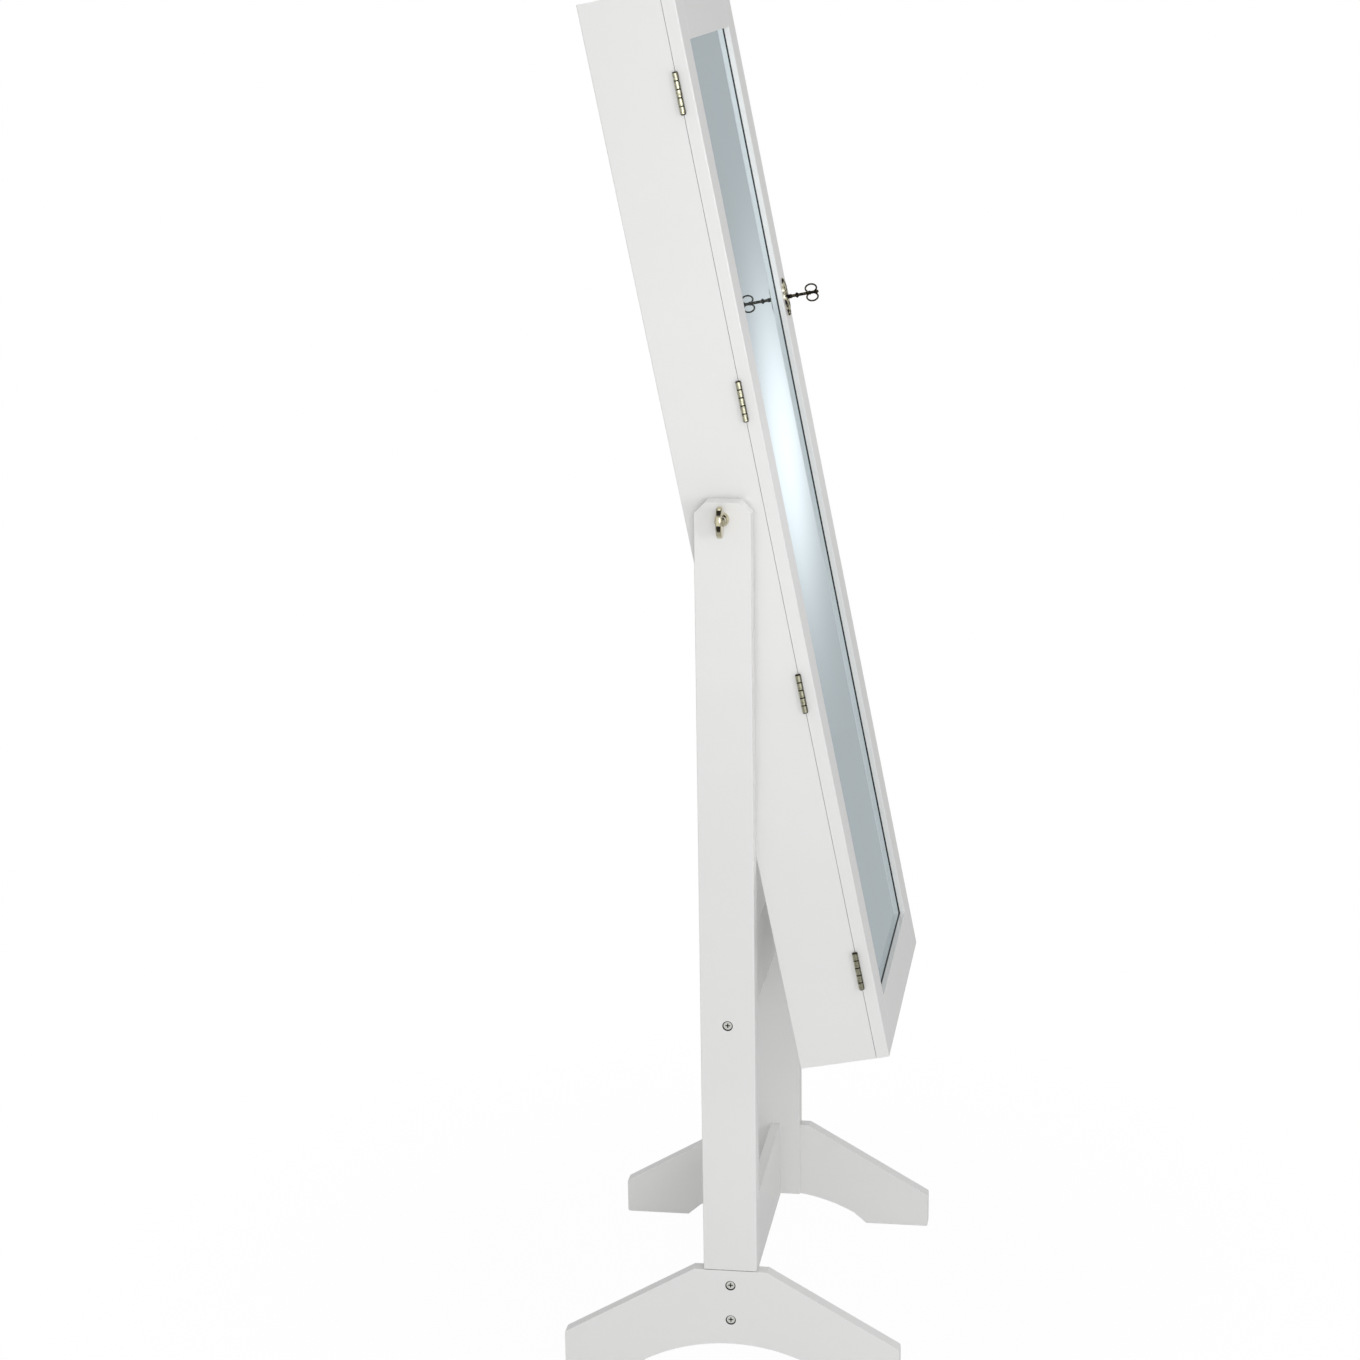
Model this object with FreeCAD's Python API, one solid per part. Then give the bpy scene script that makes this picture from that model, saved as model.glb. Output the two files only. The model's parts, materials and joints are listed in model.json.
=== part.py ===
import FreeCAD, Part
import math
import os

# Free-standing jewelry cabinet with a mirror door, hung between two posts.
# Millimetres. +Z up, the mirror faces -Y, X runs across the front.
# The origin lies on the floor, midway between the two feet.
#
# The cabinet is drawn upright in its own frame, back face on y = 0, front
# towards -y, bottom on z = 0, and is then leaned back about its pivot.

Vec = FreeCAD.Vector
UP = Vec(0, 0, 1)
ACROSS = Vec(1, 0, 0)
FORWARD = Vec(0, -1, 0)

# ---- driving dimensions -------------------------------------------------

# cabinet
cabinet_width = 370.0
cabinet_height = 1200.0
case_depth = 88.1
seam_gap = 0.5
door_thickness = 14.4
board = 15.0                 # sides, top and bottom of the case
back_thickness = 3.0
back_groove = 6.0            # how far the back panel enters each side
lean_back = 11.1             # degrees, as it stands in the photograph
pivot_up = 647.0             # pivot above the case's bottom
pivot_in = 46.0              # pivot in front of the case's back
pivot_height = 1021.0        # pivot above the floor

# stand
post_width = 62.0
post_thickness = 24.0
post_top = 1039.0
post_corner = 13.0
side_gap = 5.0               # between post and case, filled by a spacer
foot_length = 394.0
foot_thickness = 16.0
foot_crown = 133.5
foot_crown_length = 85.0
foot_tip = 43.5
foot_pad = 80.0
arch_height = 40.0
arch_step = 14.0             # rise of the short slope at each pad
arch_step_run = 16.0
foot_corner = 3.0
crossbar_height = 98.0
crossbar_thickness = 12.0
upper_crossbar_middle = 437.5
shoulder_gap = 0.8           # between the post's shoulder and the foot's crown

# screws of the stand
screw_head_radius = 4.8
screw_head_height = 2.4
screw_shank_radius = 2.4
screw_length = 52.0
screw_sink = 1.2             # head below the board's face, in its countersink
screw_recess = 2.8           # reach of each arm of the cross
screw_recess_depth = 1.3
screw_hole_clearance = 0.05
lower_screw_spacing = 44.0
lower_screw_rise = 3.4       # the lower pair sits a little above the crossbar's middle

# pivot hardware
stud_radius = 4.0
stud_clearance = 0.08
stud_in_insert = 10.0
insert_radius = 6.5
insert_depth = 12.0
spacer_radius = 11.0
knob_hub_radius = 8.0
knob_hub_length = 9.0
knob_boss_radius = 6.2
knob_boss_length = 9.0
knob_wing_height = 35.0
knob_wing_reach = 24.0
knob_wing_thickness = 6.4
knob_face_gap = 0.3

# door frame
stile_width = 46.0
rail_width = 57.0
mirror_recess = 7.0
mirror_thickness = 3.0
mirror_lap = 6.0             # glass hidden behind the frame on each side
mirror_play = 0.6
backing_thickness = 3.0
edge_round = 1.2
edge_test = 0.1              # how near a face an edge's middle lies

# hinges
hinge_count = 4
hinge_margin = 108.0         # from the case's ends to the hinge middles
hinge_length = 44.0
hinge_leaf_width = 12.0
hinge_leaf_thickness = 1.0
hinge_leaf_gap = 0.2
hinge_barrel_radius = 3.2
hinge_pin_radius = 1.2
hinge_pin_clearance = 0.05
hinge_offset = 3.1           # pin outside the case's side
hinge_knuckles = 5
knuckle_gap = 0.4
knuckle_bevel = 0.4
pin_head_height = 0.7

# lock
lock_height = 826.0          # key above the case's bottom
lock_case_width = 23.0
lock_case_height = 34.0
lock_case_depth = 9.0
lock_case_wall = 1.2
lock_edge_gap = 1.5          # lock case to the case's side
key_from_edge = 23.0
key_shaft_radius = 1.75
keyhole_radius = 2.3
keyhole_slot = 2.4
keyhole_drop = 7.0
key_reach = 22.5             # plate to bow
key_bow_height = 21.6
key_bow_length = 15.2
key_wire = 1.0               # radius of the bow's rod
key_loop_offset = 0.4        # each loop's inner rod beside the key's axis
key_collar_length = 6.6
key_knot_length = 4.4
key_knot_reach = 12.4        # plate to the knot's middle
key_bow_knot_length = 3.0
key_bit_length = 5.6
key_bit_depth = 3.2
key_bit_thickness = 1.8
bolt_height = 10.0
bolt_thickness = 2.6
bolt_throw = 7.0
bolt_play = 0.3
strike_thickness = 1.0
strike_height = 26.0
strike_width = 14.0
escutcheon_height = 46.0
escutcheon_width = 24.0
escutcheon_thickness = 1.4
escutcheon_lobes = 6
escutcheon_lobe_depth = 0.09
nail_radius = 1.1
nail_head_radius = 2.2
nail_head_height = 1.3
nail_edge_margin = 1.0
nail_length = 9.0

# inside the case
lining_thickness = 1.0
shelf_thickness = 9.0
shelf_depth = 72.0
lower_shelf_height = 210.0
shelf_lip_height = 24.0
shelf_lip_thickness = 6.0
ring_tray_height = 150.0     # ring rolls fill this much above their ledge
ring_ledge_height = 470.0
ring_ledge_depth = 34.0
ring_roll_count = 7
ring_roll_depth = 22.0
ring_roll_gap = 0.6
ring_hand_room = 40.0        # rolls to the upper shelf
ring_board_thickness = 4.0
rod_room = 61.0              # rod's middle below the ring ledge
rod_radius = 5.0
rod_out = 48.0               # rod in front of the back panel's lining
rod_cup_radius = 9.0
rod_cup_depth = 8.0
rod_seat = 6.0
rod_clearance = 0.1
earring_rail_count = 4
earring_rail_height = 22.0
earring_rail_thickness = 5.0
earring_rail_out = 30.0
earring_room = 23.0          # upper shelf's lip to the first rail
earring_slot_count = 9
earring_slot_width = 3.0
earring_slot_depth = 14.0
earring_bracket_thickness = 4.0
necklace_rail_height = 20.0
necklace_rail_thickness = 14.0
necklace_rail_drop = 35.0    # below the top board
necklace_room = 164.0        # above the last earring rail
hook_count = 10
hook_radius = 1.5
hook_reach = 24.0
hook_rise = 9.0
hook_bend = 5.0
hook_seat = 8.0
hook_clearance = 0.05

# ---- sizes worked out from the driving dimensions -----------------------

half_width = cabinet_width / 2
inner_half = half_width - board
post_inner = half_width + side_gap
post_outer = post_inner + post_thickness
foot_inner = post_outer - foot_thickness
door_back = case_depth + seam_gap
door_front = door_back + door_thickness
lower_crossbar_middle = arch_height + crossbar_height / 2
opening_half = half_width - stile_width
mirror_front = door_front - mirror_recess
mirror_back = mirror_front - mirror_thickness
hinge_pitch = (cabinet_height - 2 * hinge_margin) / (hinge_count - 1)
hinge_x = -half_width - hinge_offset
hinge_y = -(case_depth + seam_gap / 2)
key_x = half_width - key_from_edge
lock_right = inner_half - lock_edge_gap
lock_left = lock_right - lock_case_width
lock_back = door_back - lock_case_depth
back_front = back_thickness + lining_thickness
bolt_front = door_back - lock_case_wall - bolt_play
bolt_back = bolt_front - bolt_thickness
hinge_middles = [hinge_margin + i * hinge_pitch for i in range(hinge_count)]
rod_height = ring_ledge_height - ring_board_thickness - rod_room
upper_shelf_height = ring_ledge_height + ring_tray_height + ring_hand_room
upper_lip_top = upper_shelf_height + shelf_thickness + shelf_lip_height
earring_rail_low = upper_lip_top + earring_room
necklace_rail_top = cabinet_height - board - necklace_rail_drop
necklace_rail_low = necklace_rail_top - necklace_rail_height
earring_rail_high = necklace_rail_low - necklace_room - earring_rail_height
earring_rail_pitch = (earring_rail_high - earring_rail_low) / (earring_rail_count - 1)


# ---- helpers ------------------------------------------------------------

def box(x0, x1, y0, y1, z0, z1):
    """Box between two corners."""
    return Part.makeBox(x1 - x0, y1 - y0, z1 - z0, Vec(x0, y0, z0))


def panel(x0, x1, depth0, depth1, z0, z1):
    """Box in the cabinet's frame, its depths measured forward from the back."""
    return box(x0, x1, -depth1, -depth0, z0, z1)


def cylinder(radius, length, base, direction):
    return Part.makeCylinder(radius, length, base, direction)


def fuse(shapes):
    """One solid out of touching or overlapping ones, joined in order."""
    joined = shapes[0]
    for shape in shapes[1:]:
        joined = joined.fuse(shape)
    return joined


def mirrored(shape):
    """The same piece on the other side of the middle plane."""
    return shape.mirror(Vec(0, 0, 0), ACROSS)


def polygon(points):
    return Part.makePolygon(points + points[:1])


def revolve(profile, base, direction):
    """Turned piece: (radius, distance) points spun about an axis through base."""
    side = UP if abs(direction.z) < 0.5 else ACROSS
    points = [base + side * r + direction * a for r, a in profile]
    return Part.Face(polygon(points)).revolve(base, direction, 360)


def edges_along(shape, direction, keep):
    """Straight edges of one direction whose middle passes the test."""
    chosen = []
    for edge in shape.Edges:
        if len(edge.Vertexes) < 2:
            continue
        span = edge.Vertexes[1].Point - edge.Vertexes[0].Point
        straight = abs(span.Length - edge.Length) < 1e-6
        if straight and abs(abs(span.normalize() * direction) - 1) < 1e-6:
            if keep(edge.CenterOfMass):
                chosen.append(edge)
    return chosen


def leaned(shape):
    """Move a piece from the upright cabinet's frame to its place on the stand."""
    placed = shape.copy()
    placed.translate(Vec(0, pivot_in, -pivot_up))
    placed.rotate(Vec(0, 0, 0), ACROSS, -lean_back)
    placed.translate(Vec(0, 0, pivot_height))
    return placed


def group(shapes):
    return Part.makeCompound(shapes)


# ---- stand --------------------------------------------------------------

def screw_hole(x_face, height, depth):
    """Countersunk hole that runs in from the outer face of the left side."""
    start = Vec(x_face, 0, height)
    shank = cylinder(screw_shank_radius + screw_hole_clearance, screw_sink + depth,
                     start, ACROSS)
    flare = (screw_head_radius - screw_shank_radius) / screw_head_height
    mouth = screw_head_radius + flare * screw_sink
    countersink = Part.makeCone(
        mouth + screw_hole_clearance, screw_shank_radius + screw_hole_clearance,
        screw_sink + screw_head_height, start, ACROSS)
    return shank.fuse(countersink)


def frame_screw(x_face, height):
    """Flat-head screw with a cross recess, its head sunk below the board's face."""
    x_head = x_face + screw_sink
    start = Vec(x_head, 0, height)
    head = Part.makeCone(screw_head_radius, screw_shank_radius, screw_head_height,
                         start, ACROSS)
    shank = cylinder(screw_shank_radius, screw_length, start, ACROSS)
    arm = screw_recess
    thin = screw_recess / 4
    floor = x_head + screw_recess_depth
    cross = fuse([
        box(x_head, floor, -arm, arm, height - thin, height + thin),
        box(x_head, floor, -thin, thin, height - arm, height + arm)])
    return head.fuse(shank).removeSplitter().cut(cross)


def lower_screw_heights():
    middle = lower_crossbar_middle + lower_screw_rise
    half = lower_screw_spacing / 2
    return [middle - half, middle + half]


def stand_screw_places():
    return [upper_crossbar_middle] + lower_screw_heights()


def drilled_for_screws(shape):
    for height in stand_screw_places():
        shape = shape.cut(screw_hole(-post_outer, height, screw_length))
    return shape


def make_post():
    """Left post: clipped top corners, outer half cut away over the foot."""
    half = post_width / 2
    outline = [
        Vec(-post_outer, -half, arch_height),
        Vec(-post_outer, half, arch_height),
        Vec(-post_outer, half, post_top - post_corner),
        Vec(-post_outer, half - post_corner, post_top),
        Vec(-post_outer, -half + post_corner, post_top),
        Vec(-post_outer, -half, post_top - post_corner)]
    post = Part.Face(polygon(outline)).extrude(ACROSS * post_thickness)
    lap = box(-post_outer, -foot_inner, -half, half, arch_height,
              foot_crown + shoulder_gap)
    bore = cylinder(stud_radius + stud_clearance, post_thickness,
                    Vec(-post_outer, 0, pivot_height), ACROSS)
    post = drilled_for_screws(post.cut(lap).cut(bore))
    rims = edges_along(post, UP, lambda p: p.z > foot_crown and abs(p.y) > half - edge_test)
    return post.makeFillet(edge_round, rims)


def make_foot():
    """Left foot: straight slopes above, a shallow arch between two pads below."""
    x = -post_outer
    end = foot_length / 2
    crown = foot_crown_length / 2
    pad = end - foot_pad
    spring = pad - arch_step_run
    upper = [Vec(x, -end, foot_tip), Vec(x, -crown, foot_crown),
             Vec(x, crown, foot_crown), Vec(x, end, foot_tip)]
    left = [Vec(x, end, foot_tip), Vec(x, end, 0), Vec(x, pad, 0), Vec(x, spring, arch_step)]
    right = [Vec(x, -spring, arch_step), Vec(x, -pad, 0), Vec(x, -end, 0),
             Vec(x, -end, foot_tip)]
    arch = Part.Arc(Vec(x, spring, arch_step), Vec(x, 0, arch_height),
                    Vec(x, -spring, arch_step)).toShape()
    edges = []
    for chain in (upper, left, right):
        edges += [Part.makeLine(a, b) for a, b in zip(chain, chain[1:])]
    outline = Part.Wire(Part.__sortEdges__(edges + [arch]))
    foot = Part.Face(outline).extrude(ACROSS * foot_thickness)
    tips = edges_along(foot, ACROSS, lambda p: abs(p.y) > end - edge_test)
    foot = foot.makeFillet(foot_corner, tips)
    rim = edges_along(foot, FORWARD, lambda p: p.z > foot_crown - edge_test)
    return drilled_for_screws(foot.makeFillet(edge_round, rim))


def make_crossbar(middle):
    """Board on edge between the posts, with pilot holes in both ends."""
    bar = box(-post_inner, post_inner, -crossbar_thickness / 2, crossbar_thickness / 2,
              middle - crossbar_height / 2, middle + crossbar_height / 2)
    for height in stand_screw_places():
        hole = screw_hole(-post_outer, height, screw_length)
        bar = bar.cut(hole).cut(mirrored(hole))
    return bar


def make_screws():
    one_side = [frame_screw(-post_outer, height) for height in stand_screw_places()]
    return group(one_side + [mirrored(screw) for screw in one_side])


# ---- pivot hardware -----------------------------------------------------

def make_spacer():
    """Round spacer that keeps the case clear of the left post."""
    start = Vec(-post_inner, 0, pivot_height)
    disc = cylinder(spacer_radius, side_gap, start, ACROSS)
    bore = cylinder(stud_radius + stud_clearance, side_gap, start, ACROSS)
    return disc.cut(bore)


def make_stud():
    """Threaded stud from the knob's hub, through the post, into the insert."""
    start = Vec(-post_outer - knob_hub_length / 2, 0, pivot_height)
    reach = knob_hub_length / 2 + post_thickness + side_gap + stud_in_insert
    return cylinder(stud_radius, reach, start, ACROSS)


def make_knob():
    """Turned hub with an oval finger wing on edge, thickened by a boss at its root."""
    base = Vec(-post_outer - knob_face_gap, 0, pivot_height)
    outward = Vec(-1, 0, 0)
    hub_length = knob_hub_length - knob_face_gap
    hub = revolve([(0, 0), (knob_hub_radius, 0), (knob_hub_radius, hub_length * 0.35),
                   (knob_hub_radius * 0.86, hub_length * 0.7),
                   (knob_hub_radius * 0.55, hub_length), (0, hub_length)], base, outward)
    middle = base + outward * (knob_hub_length + knob_wing_reach) / 2
    middle.y = knob_wing_thickness / 2
    oval = Part.Ellipse(middle + Vec(0, 0, knob_wing_height / 2),
                        middle + outward * (knob_wing_reach / 2), middle)
    wing = Part.Face(Part.Wire(oval.toShape())).extrude(FORWARD * knob_wing_thickness)
    wing = wing.makeFillet(knob_wing_thickness * 0.3, wing.Edges)
    boss = revolve([(0, 0), (knob_hub_radius * 0.55, 0),
                    (knob_boss_radius, knob_boss_length * 0.35),
                    (knob_boss_radius, knob_boss_length * 0.65),
                    (knob_boss_radius * 0.5, knob_boss_length), (0, knob_boss_length)],
                   base + outward * hub_length, outward)
    seat = cylinder(stud_radius, knob_hub_length / 2,
                    Vec(-post_outer - knob_hub_length / 2, 0, pivot_height), ACROSS)
    return fuse([hub, boss, wing]).cut(seat)


def insert_place():
    """Mouth of the threaded insert in the left side, in the cabinet's frame."""
    return Vec(-half_width, -pivot_in, pivot_up)


def make_insert():
    """Threaded insert sunk into the left side from outside."""
    body = cylinder(insert_radius, insert_depth, insert_place(), ACROSS)
    bore = cylinder(stud_radius + stud_clearance, insert_depth, insert_place(), ACROSS)
    return body.cut(bore)


# ---- case ---------------------------------------------------------------

def hinge_recess(middle, depth0, depth1):
    """Shallow seat for one hinge leaf, from the outer side inwards."""
    return panel(-half_width, -half_width + hinge_leaf_width, depth0, depth1,
                 middle - hinge_length / 2, middle + hinge_length / 2)


def case_leaf_depths():
    back = case_depth + (seam_gap - hinge_leaf_gap) / 2 - hinge_leaf_thickness
    return back, back + hinge_leaf_thickness


def door_leaf_depths():
    front = door_back - (seam_gap - hinge_leaf_gap) / 2 + hinge_leaf_thickness
    return front - hinge_leaf_thickness, front


def make_side():
    """Left side of the case: back groove and the bore for the insert."""
    side = panel(-half_width, -inner_half, 0, case_depth, 0, cabinet_height)
    rims = edges_along(side, UP, lambda p: p.y > -edge_test and p.x < -half_width + edge_test)
    side = side.makeFillet(edge_round, rims)
    groove = panel(-inner_half - back_groove, -inner_half, 0, back_thickness,
                   0, cabinet_height)
    bore = cylinder(insert_radius, insert_depth, insert_place(), ACROSS)
    return side.cut(groove).cut(bore)


def make_hinge_side():
    side = make_side()
    back, front = case_leaf_depths()
    for middle in hinge_middles:
        side = side.cut(hinge_recess(middle, back, front))
    return side


def bolt_heights(play):
    half = bolt_height / 2 + play
    return lock_height - half, lock_height + half


def make_lock_side():
    """Right side: mirrored, with the strike's seat and the bolt's mortise."""
    side = mirrored(make_side())
    low, high = bolt_heights(bolt_play)
    mortise = panel(inner_half, inner_half + bolt_throw, bolt_back - bolt_play,
                    bolt_front + bolt_play, low, high)
    seat = panel(inner_half, inner_half + strike_thickness,
                 case_depth - strike_width, case_depth,
                 lock_height - strike_height / 2, lock_height + strike_height / 2)
    return side.cut(mortise).cut(seat)


def make_strike():
    """Strike plate let into the right side, slotted for the bolt."""
    plate = panel(inner_half, inner_half + strike_thickness,
                  case_depth - strike_width, case_depth,
                  lock_height - strike_height / 2, lock_height + strike_height / 2)
    low, high = bolt_heights(bolt_play)
    slot = panel(inner_half, inner_half + strike_thickness, bolt_back - bolt_play,
                 bolt_front + bolt_play, low, high)
    return plate.cut(slot)


def make_end_board(bottom):
    """Top or bottom board between the sides, in front of the back panel."""
    return panel(-inner_half, inner_half, back_thickness, case_depth, bottom, bottom + board)


def make_back():
    reach = inner_half + back_groove
    return panel(-reach, reach, 0, back_thickness, 0, cabinet_height)


def make_lining():
    """Felt on the back panel, between the top and bottom boards."""
    return panel(-inner_half, inner_half, back_thickness, back_front,
                 board, cabinet_height - board)


def make_shelf(height):
    """Shelf with a raised lip along its front edge."""
    front = back_front + shelf_depth
    plate = panel(-inner_half, inner_half, back_front, front,
                  height, height + shelf_thickness)
    lip = panel(-inner_half, inner_half, front - shelf_lip_thickness, front,
                height + shelf_thickness, height + shelf_thickness + shelf_lip_height)
    return plate.fuse(lip).removeSplitter()


def make_ring_ledge():
    """Ledge and upright board that carry the ring rolls."""
    ledge = panel(-inner_half, inner_half, back_front, back_front + ring_ledge_depth,
                  ring_ledge_height - ring_board_thickness, ring_ledge_height)
    upright = panel(-inner_half, inner_half, back_front, back_front + ring_board_thickness,
                    ring_ledge_height, ring_ledge_height + ring_tray_height)
    return ledge.fuse(upright).removeSplitter()


def make_ring_rolls():
    """Padded rolls side by side up the board; rings push in between them."""
    pitch = ring_tray_height / ring_roll_count
    half = (pitch - ring_roll_gap) / 2
    back = back_front + ring_board_thickness
    rolls = []
    for i in range(ring_roll_count):
        middle = ring_ledge_height + (i + 0.5) * pitch
        rear_low = Vec(-inner_half, -back, middle - half)
        rear_high = Vec(-inner_half, -back, middle + half)
        shoulder = back + ring_roll_depth - half
        front_low = Vec(-inner_half, -shoulder, middle - half)
        front_high = Vec(-inner_half, -shoulder, middle + half)
        crown = Vec(-inner_half, -back - ring_roll_depth, middle)
        edges = [Part.makeLine(front_high, rear_high), Part.makeLine(rear_high, rear_low),
                 Part.makeLine(rear_low, front_low),
                 Part.Arc(front_low, crown, front_high).toShape()]
        face = Part.Face(Part.Wire(edges))
        rolls.append(face.extrude(ACROSS * (2 * inner_half)))
    return group(rolls)


def rod_line(x):
    return Vec(x, -(back_front + rod_out), rod_height)


def make_bracelet_rod():
    half = inner_half - rod_cup_depth + rod_seat
    return cylinder(rod_radius, 2 * half, rod_line(-half), ACROSS)


def make_rod_cups():
    """Round cups on both sides that the bracelet rod ends sit in."""
    start = rod_line(-inner_half)
    cup = cylinder(rod_cup_radius, rod_cup_depth, start, ACROSS)
    socket = cylinder(rod_radius + rod_clearance, rod_seat,
                      start + ACROSS * (rod_cup_depth - rod_seat), ACROSS)
    cup = cup.cut(socket)
    return group([cup, mirrored(cup)])


def make_earring_rail(index):
    """Slotted strip for earrings, held off the back by a bracket at each end."""
    bottom = earring_rail_low + index * earring_rail_pitch
    top = bottom + earring_rail_height
    rear = back_front + earring_rail_out - earring_rail_thickness
    front = back_front + earring_rail_out
    strip = panel(-inner_half, inner_half, rear, front, bottom, top)
    pitch = 2 * inner_half / (earring_slot_count + 1)
    slots = []
    for i in range(earring_slot_count):
        middle = -inner_half + (i + 1) * pitch
        slots.append(panel(middle - earring_slot_width / 2, middle + earring_slot_width / 2,
                           rear, front, top - earring_slot_depth, top))
    bracket = panel(-inner_half, -inner_half + earring_bracket_thickness,
                    back_front, rear, bottom, top)
    return fuse([strip.cut(slots), bracket, mirrored(bracket)])


def make_necklace_rail():
    """Batten under the top that carries the necklace hooks."""
    rail = panel(-inner_half, inner_half, back_front, back_front + necklace_rail_thickness,
                 necklace_rail_low, necklace_rail_top)
    for x in hook_places():
        rail = rail.cut(cylinder(hook_radius + hook_clearance, hook_seat, hook_root(x), -FORWARD))
    return rail


def hook_places():
    pitch = 2 * inner_half / hook_count
    return [-inner_half + (i + 0.5) * pitch for i in range(hook_count)]


def hook_root(x):
    return Vec(x, -(back_front + necklace_rail_thickness),
               (necklace_rail_low + necklace_rail_top) / 2)


def make_hooks():
    """Wire hooks: straight out of the rail, a bend, then straight up."""
    hooks = []
    for x in hook_places():
        root = hook_root(x) - FORWARD * hook_seat
        bend_start = hook_root(x) + FORWARD * (hook_reach - hook_bend)
        bend_end = hook_root(x) + FORWARD * hook_reach + UP * hook_bend
        corner = bend_start + UP * hook_bend
        slant = math.sin(math.radians(45)) * hook_bend
        middle = corner + FORWARD * slant - UP * slant
        path = Part.Wire([Part.makeLine(root, bend_start),
                          Part.Arc(bend_start, middle, bend_end).toShape(),
                          Part.makeLine(bend_end, bend_end + UP * hook_rise)])
        ring = Part.Wire(Part.makeCircle(hook_radius, root, FORWARD))
        hooks.append(path.makePipeShell([ring], True, False))
    return group(hooks)


# ---- door ---------------------------------------------------------------

def mirror_reach():
    """Half width and half height of the glass, behind the frame's lips."""
    return opening_half + mirror_lap, cabinet_height / 2 - rail_width + mirror_lap


def mirror_rebate():
    """The stepped opening that the glass and its backing sit in."""
    half_x, half_z = mirror_reach()
    half_x += mirror_play
    half_z += mirror_play
    middle = cabinet_height / 2
    return panel(-half_x, half_x, door_back, mirror_front, middle - half_z, middle + half_z)


def make_stile():
    """Left stile: full height, rebated for the glass, outer edges eased."""
    stile = panel(-half_width, -opening_half, door_back, door_front, 0, cabinet_height)
    stile = stile.cut(mirror_rebate())
    rims = edges_along(stile, UP, lambda p: p.y < -door_front + edge_test)
    return stile.makeFillet(edge_round, rims)


def make_hinge_stile():
    stile = make_stile()
    back, front = door_leaf_depths()
    for middle in hinge_middles:
        stile = stile.cut(hinge_recess(middle, back, front))
    return stile


def keyhole(depth0, depth1):
    """Keyhole: a round hole with a slot below it for the bit."""
    start = Vec(key_x, -depth0, lock_height)
    hole = cylinder(keyhole_radius, depth1 - depth0, start, FORWARD)
    slot = panel(key_x - keyhole_slot / 2, key_x + keyhole_slot / 2, depth0, depth1,
                 lock_height - keyhole_drop, lock_height)
    return hole.fuse(slot)


def nail_points():
    rise = escutcheon_height / 2 - nail_head_radius - nail_edge_margin
    return [Vec(key_x, -door_front, lock_height + sign * rise) for sign in (-1, 1)]


def make_lock_stile():
    """Right stile: mirrored, with the keyhole and the nail holes."""
    stile = mirrored(make_stile()).cut(keyhole(door_back, door_front))
    for point in nail_points():
        stile = stile.cut(cylinder(nail_radius, nail_length, point, -FORWARD))
    return stile


def make_rail(bottom):
    """Top or bottom rail of the door, between the stiles."""
    rail = panel(-opening_half, opening_half, door_back, door_front,
                 bottom, bottom + rail_width)
    return rail.cut(mirror_rebate())


def make_glass():
    half_x, half_z = mirror_reach()
    middle = cabinet_height / 2
    return panel(-half_x, half_x, mirror_back, mirror_front, middle - half_z, middle + half_z)


def make_backing():
    half_x, half_z = mirror_reach()
    middle = cabinet_height / 2
    return panel(-half_x, half_x, mirror_back - backing_thickness, mirror_back,
                 middle - half_z, middle + half_z)


# ---- hinges -------------------------------------------------------------

def knuckle_span(middle, index):
    pitch = hinge_length / hinge_knuckles
    low = middle - hinge_length / 2 + index * pitch
    return low + knuckle_gap / 2, low + pitch - knuckle_gap / 2


def knuckle(low, high):
    """Rolled knuckle round the pin, its ends bevelled."""
    narrow = hinge_barrel_radius - knuckle_bevel
    length = high - low
    return revolve([(0, 0), (narrow, 0), (hinge_barrel_radius, knuckle_bevel),
                    (hinge_barrel_radius, length - knuckle_bevel), (narrow, length),
                    (0, length)], Vec(hinge_x, hinge_y, low), UP)


def hinge_leaf(middle, depths, first):
    """One leaf: a flat plate whose every second knuckle wraps the pin."""
    clear = hinge_x + hinge_barrel_radius + knuckle_gap
    plate = panel(clear, -half_width + hinge_leaf_width, depths[0], depths[1],
                  middle - hinge_length / 2, middle + hinge_length / 2)
    parts = [plate]
    for index in range(first, hinge_knuckles, 2):
        low, high = knuckle_span(middle, index)
        parts.append(knuckle(low, high))
        parts.append(panel(hinge_x, clear, depths[0], depths[1], low, high))
    bore = cylinder(hinge_pin_radius + hinge_pin_clearance, hinge_length,
                    Vec(hinge_x, hinge_y, middle - hinge_length / 2), UP)
    return fuse(parts).cut(bore)


def make_case_leaves():
    return group([hinge_leaf(middle, case_leaf_depths(), 0) for middle in hinge_middles])


def make_door_leaves():
    return group([hinge_leaf(middle, door_leaf_depths(), 1) for middle in hinge_middles])


def make_hinge_pins():
    """Hinge pins with a low head at each end."""
    pins = []
    for middle in hinge_middles:
        low = Vec(hinge_x, hinge_y, middle - hinge_length / 2)
        shaft = cylinder(hinge_pin_radius, hinge_length, low, UP)
        caps = []
        for start, way in ((low, -UP), (low + UP * hinge_length, UP)):
            caps.append(revolve([(0, 0), (hinge_barrel_radius * 0.9, 0),
                                 (hinge_barrel_radius * 0.7, pin_head_height * 0.7),
                                 (0, pin_head_height)], start, way))
        pins.append(fuse([shaft] + caps))
    return group(pins)


# ---- lock and key -------------------------------------------------------

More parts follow.
